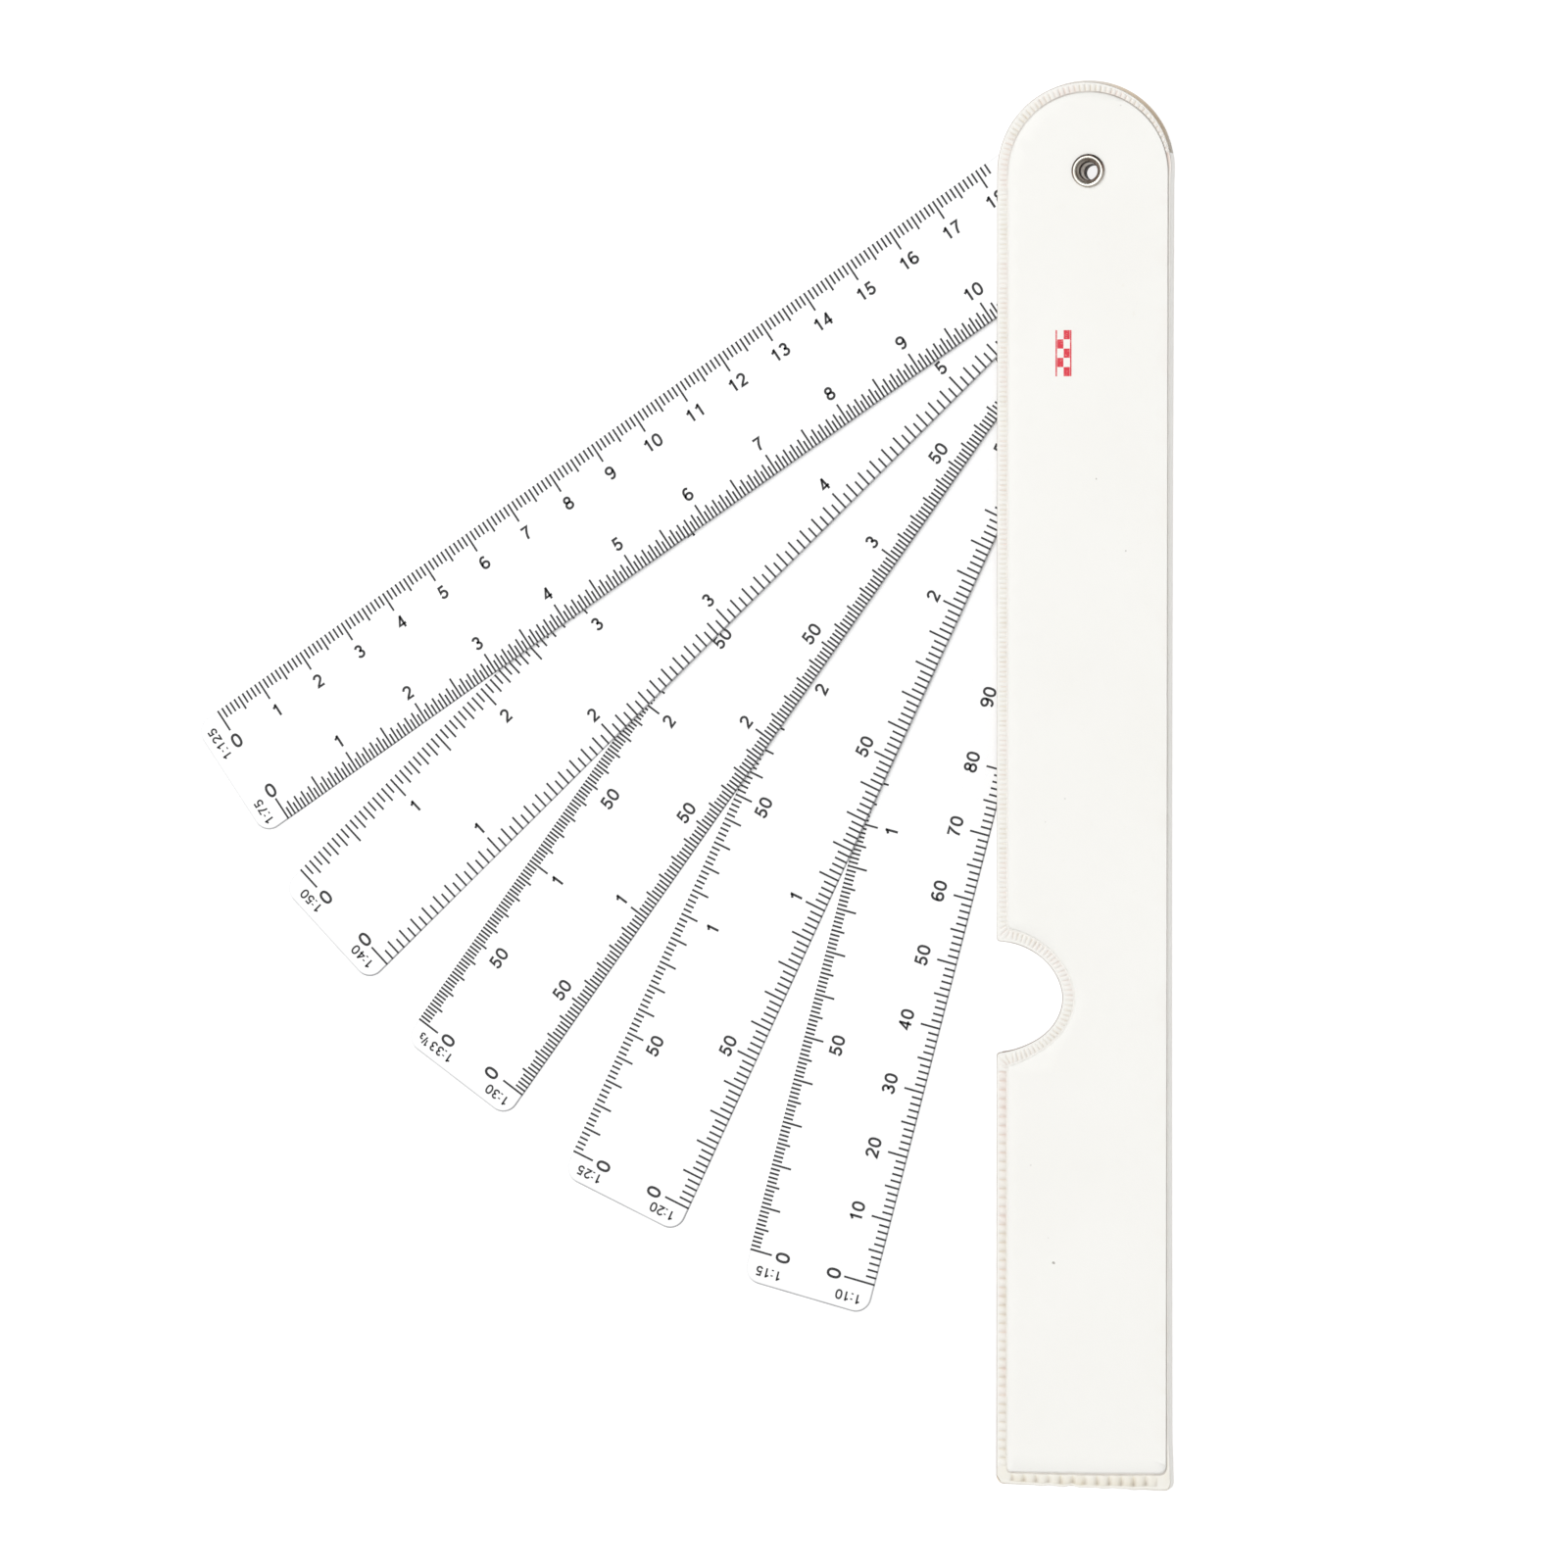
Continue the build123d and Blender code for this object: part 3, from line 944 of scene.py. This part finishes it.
def blade_mesh(node, reach, angle):
    """A flat sheet with slightly rounded edges, greyed with grime and painted shade, and a punched hole.
    """
    low, high = node_box(node)
    levels = [(inset, low.z + up, worn) for inset, up, worn in EDGE_RINGS]
    levels += [(inset, high.z - up, worn) for inset, up, worn in reversed(EDGE_RINGS)]
    sheet = bmesh.new()
    # the edge attribute holds the edge's grime and painted shade
    edge_grime_shade_layer = sheet.verts.layers.float.new("edge")
    borders = {0: [], -1: []}
    for outline in (
        lambda inset: blade_outline(reach, inset),
        lambda inset: [Vector((cos(t), -sin(t))) * (HOLE_RADIUS + inset) for t in angles(48)],
    ):
        rings = []
        for inset, height, worn in levels:
            ring = [sheet.verts.new((p.x, p.y, height)) for p in outline(inset)]
            for vert in ring:
                vert[edge_grime_shade_layer] = worn * edge_wear(vert.co, reach, angle)
            rings.append(ring)
        for below, above in zip(rings, rings[1:]):
            for k in range(len(below)):
                sheet.faces.new((below[k - 1], below[k], above[k], above[k - 1]))
        for end, border in borders.items():
            ring = rings[end]
            border += [sheet.edges.get((ring[k - 1], ring[k])) for k in range(len(ring))]
    for border in borders.values():
        bmesh.ops.triangle_fill(sheet, use_beauty=True, edges=border)
    bmesh.ops.recalc_face_normals(sheet, faces=sheet.faces)
    turn = TO_METRES @ Matrix.Rotation(radians(angle), 4, "Z")
    bmesh.ops.transform(sheet, verts=sheet.verts, matrix=turn)
    return mesh_from("blade", sheet)


for blade_node in BLADE_NODES:
    blade = new_piece(
        blade_node.replace("scale_blade", "blade_sheet"),
        blade_mesh(blade_node, *blade_lie(blade_node)), BLADE, blade_node,
    )
    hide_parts(blade_node)


# ---- print: strokes and figures

INK_HEIGHT = 0.012
TICK_WIDTH = 0.3
MARK_INSET = 0.02
FIGURE_STROKE = 0.187
FIGURE_SPREAD = 1.07
FIGURE_ADVANCE = 0.84
FIGURE_WIDTH = 0.64 * FIGURE_SPREAD


def oval(x, y, rx, ry, squareness=1.0, steps=20):
    """Points round a closed oval, squarer as squareness falls below 1."""
    points = []
    for t in angles(steps):
        c, s = cos(t), sin(t)
        points.append((
            x + rx * copysign(abs(c) ** squareness, c),
            y + ry * copysign(abs(s) ** squareness, s),
        ))
    return points


SIX = [
    (bow(0.335, 0.60, 0.262, 0.3425, 48, 180, 9) + [(0.064, 0.50), (0.066, 0.32)], False),
    (oval(0.325, 0.305, 0.255, 0.2475), True),
]
# each figure is a few strokes in a box 0.64 wide and 1 high: (points, whether the stroke closes)
FIGURES = {
    "0": [(oval(0.32, 0.5, 0.262, 0.4425, 0.86), True)],
    "1": [([(0.39, 0), (0.39, 1)], False), ([(0.39, 0.93), (0.30, 0.82), (0.13, 0.73)], False)],
    "2": [(
        bow(0.315, 0.69, 0.245, 0.2525, 168, -22, 10)
        + [(0.46, 0.47), (0.28, 0.29), (0.14, 0.14), (0.09, 0.0575), (0.60, 0.0575)],
        False,
    )],
    "3": [
        (bow(0.30, 0.73, 0.215, 0.2125, 160, -90, 10), False),
        (bow(0.305, 0.2875, 0.25, 0.23, 100, -165, 11), False),
    ],
    "4": [([(0.61, 0.285), (0.06, 0.285), (0.44, 0.93)], False), ([(0.44, 0), (0.44, 1)], False)],
    "5": [(
        [(0.57, 0.9275), (0.185, 0.9275), (0.125, 0.50)] + bow(0.31, 0.32, 0.255, 0.2625, 118, -160, 11),
        False,
    )],
    "6": SIX,
    "7": [(
        [(0.05, 0.9275), (0.575, 0.9275), (0.43, 0.70), (0.32, 0.46), (0.26, 0.24), (0.24, 0)],
        False,
    )],
    "8": [(oval(0.32, 0.735, 0.212, 0.2075), True), (oval(0.32, 0.295, 0.258, 0.2375), True)],
    "9": [([(0.64 - x, 1 - y) for x, y in points], closed) for points, closed in SIX],
    ":": [([(0.17, 0), (0.17, 0.14)], False), ([(0.17, 0.58), (0.17, 0.72)], False)],
}
NARROW = {":": 0.4}
COLON_WEIGHT = 1.3


class Print:
    """Ink on one side of a blade: x runs from the zero marks to the pivot, y across the blade."""

    def __init__(self):
        self.verts = []
        self.faces = []

    def stroke(self, points, width, closed=False):
        """Lay a closed strip of ink along a line of points."""
        points = [Vector(p) for p in points]
        count, base = len(points), len(self.verts)
        for k, here in enumerate(points):
            before = points[k - 1] if k or closed else here
            after = points[(k + 1) % count] if k < count - 1 or closed else here
            arriving = (here - before).normalized() if before != here else (after - here).normalized()
            leaving = (after - here).normalized() if after != here else arriving
            along = (arriving + leaving).normalized()
            side = Vector((-along.y, along.x)) * (width / 2 / max(along.dot(leaving), 0.6))
            for edge in (here + side, here - side):
                self.verts += [(edge.x, edge.y, 0.0), (edge.x, edge.y, INK_HEIGHT)]
        for k in range(count if closed else count - 1):
            a, b = base + 4 * k, base + 4 * ((k + 1) % count)
            self.faces += [(a + 1, a + 3, b + 3, b + 1), (a, b, b + 2, a + 2)]
            self.faces += [(a, a + 1, b + 1, b), (a + 2, b + 2, b + 3, a + 3)]
        if not closed:
            a, b = base, base + 4 * (count - 1)
            self.faces += [(a, a + 2, a + 3, a + 1), (b, b + 1, b + 3, b + 2)]

    def text(self, text, start, height, turn=0, weight=1.0):
        """Draw figures in a row from its lower left corner, and return where the row ends."""
        spin = Matrix.Rotation(radians(turn), 2)
        place = Vector(start)
        for figure in text:
            thick = COLON_WEIGHT if figure == ":" else weight
            for points, closed in FIGURES[figure]:
                laid = [place + spin @ (Vector((x * FIGURE_SPREAD, y)) * height) for x, y in points]
                self.stroke(laid, FIGURE_STROKE * thick * height, closed)
            place += spin @ Vector((1, 0)) * NARROW.get(figure, FIGURE_ADVANCE) * height
        return place

    def centred(self, text, x, y, height):
        """Draw figures in a row with its middle at x and its foot at y."""
        width = FIGURE_ADVANCE * (len(text) - 1) + FIGURE_WIDTH
        self.text(text, (x - width * height / 2, y), height)


# ---- print: scales

FIGURE_HEIGHT = 1.95
ZERO_HEIGHT = 2.1
RATIO_HEIGHT = 1.45
RATIO_FROM_TIP = 2.7
# the third in a ratio: its figures' height and its whole width, as shares of the ratio's height,
# and how bold it is
THIRD_SIZE = 0.69
THIRD_WIDTH = 1.35
THIRD_WEIGHT = 1.3
SCALE_LENGTH = 146.2

# two scales to a blade, the upper edge's first: ratio, how far from the pivot the zero mark is,
# metres between marks, {every so many marks: mark length}, length of the zero mark, metres between
# figures, how far in from the edge the centimetre figures, the metre figures and the zero are, how
# far past its mark the zero is, and how far in from the edge the ratio is
Scale = namedtuple("Scale", "ratio zero step marks zero_mark figure_step gaps zero_shift ratio_gap")

FRONT_SCALES = [Scale(*row) for row in (
    ("1:125", 158.1, 0.1, {1: 1.7, 5: 2.3, 10: 3.2}, 3.6, 1, (4.3, 4.3, 4.4), 0, 1.6),
    ("1:75", 157.95, 0.05, {1: 1.7, 2: 2.4, 10: 3.3}, 3.75, 1, (4.3, 4.3, 4.15), 0.05, 1.05),
    ("1:50", 161.5, 0.05, {1: 1.9, 2: 2.6, 10: 3.5}, 3.8, 1, (4.7, 4.7, 4.8), 0, 2.45),
    ("1:40", 161.5, 0.05, {1: 1.85, 2: 2.5, 20: 3}, 3.65, 1, (3.9, 3.9, 4.2), 0.05, 1.6),
    ("1:33 1/3", 164.5, 0.02, {1: 1.75, 5: 2.4, 50: 3.5}, 3.7, 0.5, (3.8, 4.4, 4.6), 0.05, 1.63),
    ("1:30", 164.15, 0.02, {1: 1.8, 5: 2.4, 50: 3}, 3.8, 0.5, (3.4, 3.9, 4.9), -0.2, 1.25),
    ("1:25", 167.35, 0.02, {1: 1.4, 5: 2.8}, 3.4, 0.5, (3.8, 4.4, 4.2), -0.05, 1.6),
    ("1:20", 167.3, 0.02, {1: 2.05, 5: 3.3}, 4.1, 0.5, (4, 4, 4.95), -0.1, 1.55),
    ("1:15", 169.65, 0.01, {1: 1.5, 5: 2.1, 10: 3.1}, 3.5, 0.5, (4.3, 4.3, 4.2), 0.05, 1.5),
    ("1:10", 169.65, 0.01, {1: 1.65, 5: 2.3, 10: 3.1}, 4.9, 0.1, (4.45, 4.45, 5.5), 0.05, 1.5),
)]


def back_scale(zero, ratio, step, marks, figure_step):
    """A scale of the blades' other side, which is laid out alike on every edge."""
    marks = dict(zip(marks, (1.7, 2.4, 3.2)))
    return Scale(ratio, zero, step, marks, 3.7, figure_step, (4.2, 4.2, 4.2), 0, 1.6)


BACK_SCALES = [back_scale(zero, *row) for zero, *rows in (
    (158.1, ("1:100", 0.1, (1, 5, 10), 1), ("1:200", 0.2, (1, 5, 10), 2)),
    (161.5, ("1:250", 0.2, (1, 5, 10), 2), ("1:500", 0.5, (1, 2, 10), 5)),
    (164.3, ("1:300", 0.2, (1, 5, 10), 2), ("1:400", 0.5, (1, 2, 10), 5)),
    (167.3, ("1:60", 0.05, (1, 2, 20), 1), ("1:80", 0.1, (1, 5, 10), 1)),
    (169.65, ("1:5", 0.005, (1, 2, 10), 0.05), ("1:2", 0.002, (1, 5, 10), 0.02)),
) for row in rows]


def metre_length(ratio):
    """Millimetres that stand for one metre."""
    whole, _, part = ratio[2:].partition(" ")
    return 1000 / (int(whole) + (1 / 3 if part else 0))


def is_whole(value):
    return abs(value - round(value)) < 1e-6


def value_text(value):
    """What is printed at a value in metres: whole metres, or the centimetres past them."""
    return str(round(value) if is_whole(value) else round(value * 100) % 100)


def lay_scale(ink, scale, reach, edge):
    """Print one scale along an edge of the blade: edge is 1 for the upper one, -1 for the lower."""
    metre = metre_length(scale.ratio)
    border = edge * BLADE_HALF_WIDTH
    for k in range(int(SCALE_LENGTH / (metre * scale.step)) + 1):
        length = max(size for every, size in scale.marks.items() if k % every == 0)
        if k == 0:
            length = scale.zero_mark
        x = k * scale.step * metre - scale.zero
        ink.stroke([(x, border - edge * MARK_INSET), (x, border - edge * length)], TICK_WIDTH)
    part_gap, whole_gap, zero_gap = scale.gaps
    for k in range(int(SCALE_LENGTH / (metre * scale.figure_step)) + 1):
        value = k * scale.figure_step
        height, gap = FIGURE_HEIGHT, whole_gap if is_whole(value) else part_gap
        x = value * metre - scale.zero
        if k == 0:
            height, gap, x = ZERO_HEIGHT, zero_gap, x + scale.zero_shift
        foot = border - gap - height if edge > 0 else border + gap
        ink.centred(value_text(value), x, foot, height)
    lay_ratio(ink, scale, RATIO_FROM_TIP - reach, edge)


def lay_ratio(ink, scale, x, edge):
    """Print a ratio across the blade's end, read from the lower edge towards the upper."""
    main, _, part = scale.ratio.partition(" ")
    width = FIGURE_ADVANCE * (len(main) - 1) + NARROW[":"] + (THIRD_WIDTH if part else 0)
    width *= RATIO_HEIGHT
    y = BLADE_HALF_WIDTH - scale.ratio_gap - width if edge > 0 else scale.ratio_gap - BLADE_HALF_WIDTH
    end = ink.text(main, (x, y), RATIO_HEIGHT, 90)
    if part:
        small = THIRD_SIZE * RATIO_HEIGHT
        ink.text("1", (x - RATIO_HEIGHT + small - 0.1, end.y + 0.15), small, 90, THIRD_WEIGHT)
        slash = [(x - 0.15, end.y + 0.78), (x - RATIO_HEIGHT, end.y + 1.13)]
        ink.stroke(slash, FIGURE_STROKE * small * THIRD_WEIGHT)
        ink.text("3", (x + 0.05, end.y + 1.25), small, 90, THIRD_WEIGHT)


def side_matrix(angle, height, flipped):
    """From a print's plane to the part's frame, on the blade's top or under it."""
    place = Matrix.Translation((0, 0, height)) @ Matrix.Rotation(radians(angle), 4, "Z")
    if flipped:
        place = place @ Matrix.Rotation(pi, 4, "X")
    return TO_METRES @ place


def print_blade(number, node):
    """Print both sides of one blade."""
    low, high = node_box(node)
    reach, angle = blade_lie(node)
    sides = (("front", FRONT_SCALES, high.z, False), ("back", BACK_SCALES, low.z, True))
    for side, scales, height, flipped in sides:
        ink = Print()
        for scale, edge in zip(scales[2 * number:], (1, -1)):
            lay_scale(ink, scale, reach, edge)
        name = f"print_{side}_{number + 1}"
        mesh = mesh_of(name, ink.verts, ink.faces, side_matrix(angle, height, flipped))
        new_piece(name, mesh, BLACK_INK, node)


for number, node in enumerate(BLADE_NODES):
    print_blade(number, node)


# ---- red mark: a plain graduated bar, where the case is stamped

MARK_PLACE = (-3.7, -27.0)
MARK_SIZE = (2.2, 6.85)
MARK_CELLS = 5
MARK_LINE = 0.22
# where across the mark its two rows of blocks are and how wide they are, as shares of its width
MARK_ROWS = (0.72, 0.28)
MARK_BLOCK = 0.42
MARK_DEPTH = 0.005


def red_mark():
    """Two rows of alternate blocks between two thin lines, as a map's distance bar."""
    ink = Print()
    width, length = MARK_SIZE
    left, foot = MARK_PLACE[0] - width / 2, MARK_PLACE[1] - length / 2
    cell = length / MARK_CELLS
    for x in (left, left + width):
        ink.stroke([(x, foot), (x, foot + length)], MARK_LINE)
    for k in range(MARK_CELLS):
        x = left + width * MARK_ROWS[k % 2]
        ink.stroke([(x, foot + k * cell), (x, foot + (k + 1) * cell)], MARK_BLOCK * width)
    on_panel = TO_METRES @ Matrix.Translation((0, 0, PANEL_TOP - MARK_DEPTH))
    return mesh_of("red_mark", ink.verts, ink.faces, on_panel)


new_piece("red_mark", red_mark(), RED_INK, "case")


# ---- floor, light and camera

FLOOR_HALF = 3000
FLOOR_DROP = 0.02
# each softbox's place and target and its width, in metres, and its power
SOFTBOXES = {
    "overhead": ((-0.25, -0.2, 1.7), (-0.05, -0.09, 0), 2.4, 25.0),
    "key": ((-0.9, 0.6, 1.15), (-0.03, -0.09, 0), 0.7, 6.2),
}
SURROUNDINGS = 0.36
TARGET = Vector((-47.0, -91.4, 1.7)) * MM
CAMERA_DISTANCE = 1.179
# how far the camera leans to the right and up, in degrees
CAMERA_LEAN = (14.36, 1.72)
LENS = 180
SENSOR = 36


def floor():
    """A lit opal table just under the case."""
    corners = [(x * FLOOR_HALF, y * FLOOR_HALF) for x, y in ((-1, -1), (1, -1), (1, 1), (-1, 1))]
    mesh = mesh_of("floor", [(x, y, -FLOOR_DROP) for x, y in corners], [(0, 1, 2, 3)])
    mesh.materials.append(floor_material())
    piece = new_object("floor", mesh)
    piece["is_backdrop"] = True


def look_along(place, back):
    """A frame at place whose Z axis points back at the viewer, with no roll."""
    right = Vector((0, 1, 0)).cross(back).normalized()
    up = back.cross(right)
    turn = Matrix((right, up, back)).transposed().to_4x4()
    return Matrix.Translation(place) @ turn


def softbox(name, place, target, size, power):
    """A square area light that faces the target; lengths in metres."""
    data = bpy.data.lights.new(name, "AREA")
    data.shape = "SQUARE"
    data.size = size
    data.energy = power
    place, target = Vector(place), Vector(target)
    new_object(name, data).matrix_world = look_along(place, (place - target).normalized())


def studio():
    """A broad overhead softbox, a smaller one from the upper left, and grey surroundings."""
    world = bpy.data.worlds.new("studio")
    world.use_nodes = True
    light = world.node_tree.nodes["Background"].inputs
    light["Color"].default_value = (1, 1, 1, 1)
    light["Strength"].default_value = SURROUNDINGS
    bpy.context.scene.world = world
    for name, settings in SOFTBOXES.items():
        softbox(name, *settings)
    bpy.context.scene.view_settings.view_transform = "Standard"


def camera():
    """Almost square on to the case, from a little to the right, through a long lens."""
    lean_x, lean_y = (sin(radians(lean)) for lean in CAMERA_LEAN)
    back = Vector((lean_x, lean_y, sqrt(1 - lean_x ** 2 - lean_y ** 2)))
    data = bpy.data.cameras.new("camera")
    data.lens = LENS
    data.sensor_width = SENSOR
    data.clip_start = 0.01
    data.clip_end = 20
    eye = new_object("camera", data)
    eye.matrix_world = look_along(TARGET + back * CAMERA_DISTANCE, back)
    bpy.context.scene.camera = eye


floor()
studio()
camera()

visual_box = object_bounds()
boxes = {"cad": cad_box, "visual": visual_box}
{name: [list(corner) for corner in box] for name, box in boxes.items()}
